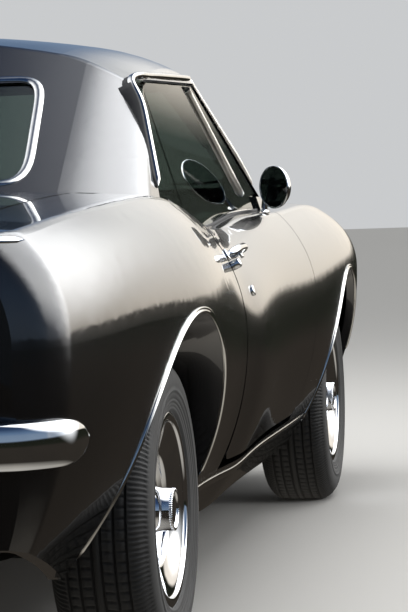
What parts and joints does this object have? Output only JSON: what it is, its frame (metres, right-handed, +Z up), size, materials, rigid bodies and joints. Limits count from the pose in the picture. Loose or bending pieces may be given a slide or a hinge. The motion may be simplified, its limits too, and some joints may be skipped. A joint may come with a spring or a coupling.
{
  "type": "muscle car, two-door hardtop coupe",
  "caption": "Late-1960s two-door hardtop muscle car with turning wheels, steering, and opening doors, hood and trunk lid.",
  "frame": {"origin": "on the road under the centre of the bounding box", "axes": "+X towards the nose, +Y to the car's left, +Z up"},
  "size_m": [4.6906, 1.8376, 1.336],
  "materials": {
    "paint": "gloss",
    "glass": "gloss",
    "chrome": "gloss",
    "rim_chrome": "gloss",
    "grille_metal": "satin",
    "lamp_glass": "gloss",
    "lamp_red": "gloss",
    "chassis_paint": "satin",
    "cast_iron": "matte",
    "steel_pipe": "satin",
    "interior_plastic": "matte",
    "upholstery": "satin",
    "tyre": "matte"
  },
  "bodies": {
    "body": {"roof": "paint", "quarter_panels": "paint", "deck_panel": "paint", "tail_panel": "paint", "sills": "paint", "cowl": "paint", "front_fenders": "paint", "nose_panels": "paint", "windshield": "glass", "rear_window": "glass", "quarter_glass": "glass", "front_bumper": "chrome", "rear_bumper": "chrome", "grille": "grille_metal", "headlamps": "lamp_glass", "tail_lamps": "lamp_red", "floor_pan": "chassis_paint", "inner_fenders": "chassis_paint", "front_subframe": "chassis_paint", "leaf_springs": "chassis_paint", "rear_axle": "chassis_paint", "driveshaft": "chassis_paint", "fuel_tank": "chassis_paint", "radiator": "chassis_paint", "engine": "cast_iron", "exhaust": "steel_pipe", "dashboard": "interior_plastic", "steering_column": "interior_plastic", "front_seats": "upholstery", "rear_seat": "upholstery"},
    "door_left": {"door_left": "paint", "door_glass_left": "glass", "mirror_left": "chrome"},
    "door_right": {"door_right": "paint", "door_glass_right": "glass", "mirror_right": "chrome"},
    "hood": {"hood": "paint"},
    "trunk_lid": {"trunk_lid": "paint"},
    "steering_wheel": {"steering_wheel": "interior_plastic"},
    "knuckle_left": {"knuckle_left": "cast_iron"},
    "knuckle_right": {"knuckle_right": "cast_iron"},
    "wheel_front_left": {"rim_front_left": "rim_chrome", "tyre_front_left": "tyre"},
    "wheel_front_right": {"rim_front_right": "rim_chrome", "tyre_front_right": "tyre"},
    "wheel_rear_left": {"rim_rear_left": "rim_chrome", "tyre_rear_left": "tyre"},
    "wheel_rear_right": {"rim_rear_right": "rim_chrome", "tyre_rear_right": "tyre"}
  },
  "joints": [
    {"name": "door_left_hinge", "type": "hinge", "parent": "body", "child": "door_left", "pos_m": [0.5975, 0.907, 0.6], "axis": [0, 0, -1], "range_deg": [0, 65]},
    {"name": "door_right_hinge", "type": "hinge", "parent": "body", "child": "door_right", "pos_m": [0.5975, -0.907, 0.6], "axis": [0, 0, 1], "range_deg": [0, 65]},
    {"name": "hood_hinge", "type": "hinge", "parent": "body", "child": "hood", "pos_m": [0.8475, 0, 0.944], "axis": [0, -1, 0], "range_deg": [0, 50]},
    {"name": "trunk_hinge", "type": "hinge", "parent": "body", "child": "trunk_lid", "pos_m": [-1.2805, 0, 0.957], "axis": [0, 1, 0], "range_deg": [0, 70]},
    {"name": "steer_left", "type": "hinge", "parent": "body", "child": "knuckle_left", "pos_m": [1.4135, 0.658, 0.307], "axis": [0, 0, 1], "range_deg": [-32, 32]},
    {"name": "steer_right", "type": "hinge", "parent": "body", "child": "knuckle_right", "pos_m": [1.4135, -0.658, 0.307], "axis": [0, 0, 1], "range_deg": [-32, 32]},
    {"name": "steering_wheel_turn", "type": "hinge", "parent": "body", "child": "steering_wheel", "pos_m": [0.0675, 0.395, 0.8], "axis": [-0.9135, 0, 0.4067], "range_deg": [-512, 512]},
    {"name": "roll_front_left", "type": "hinge", "parent": "knuckle_left", "child": "wheel_front_left", "pos_m": [1.4135, 0.748, 0.307], "axis": [0, 1, 0], "continuous": true},
    {"name": "roll_front_right", "type": "hinge", "parent": "knuckle_right", "child": "wheel_front_right", "pos_m": [1.4135, -0.748, 0.307], "axis": [0, 1, 0], "continuous": true},
    {"name": "roll_rear_left", "type": "hinge", "parent": "body", "child": "wheel_rear_left", "pos_m": [-1.3325, 0.748, 0.307], "axis": [0, 1, 0], "continuous": true},
    {"name": "roll_rear_right", "type": "hinge", "parent": "body", "child": "wheel_rear_right", "pos_m": [-1.3325, -0.748, 0.307], "axis": [0, 1, 0], "continuous": true}
  ],
  "couplings": [
    {"joint": "steer_right", "follows": "steer_left", "ratio": 1},
    {"joint": "steering_wheel_turn", "follows": "steer_left", "ratio": 16}
  ]
}
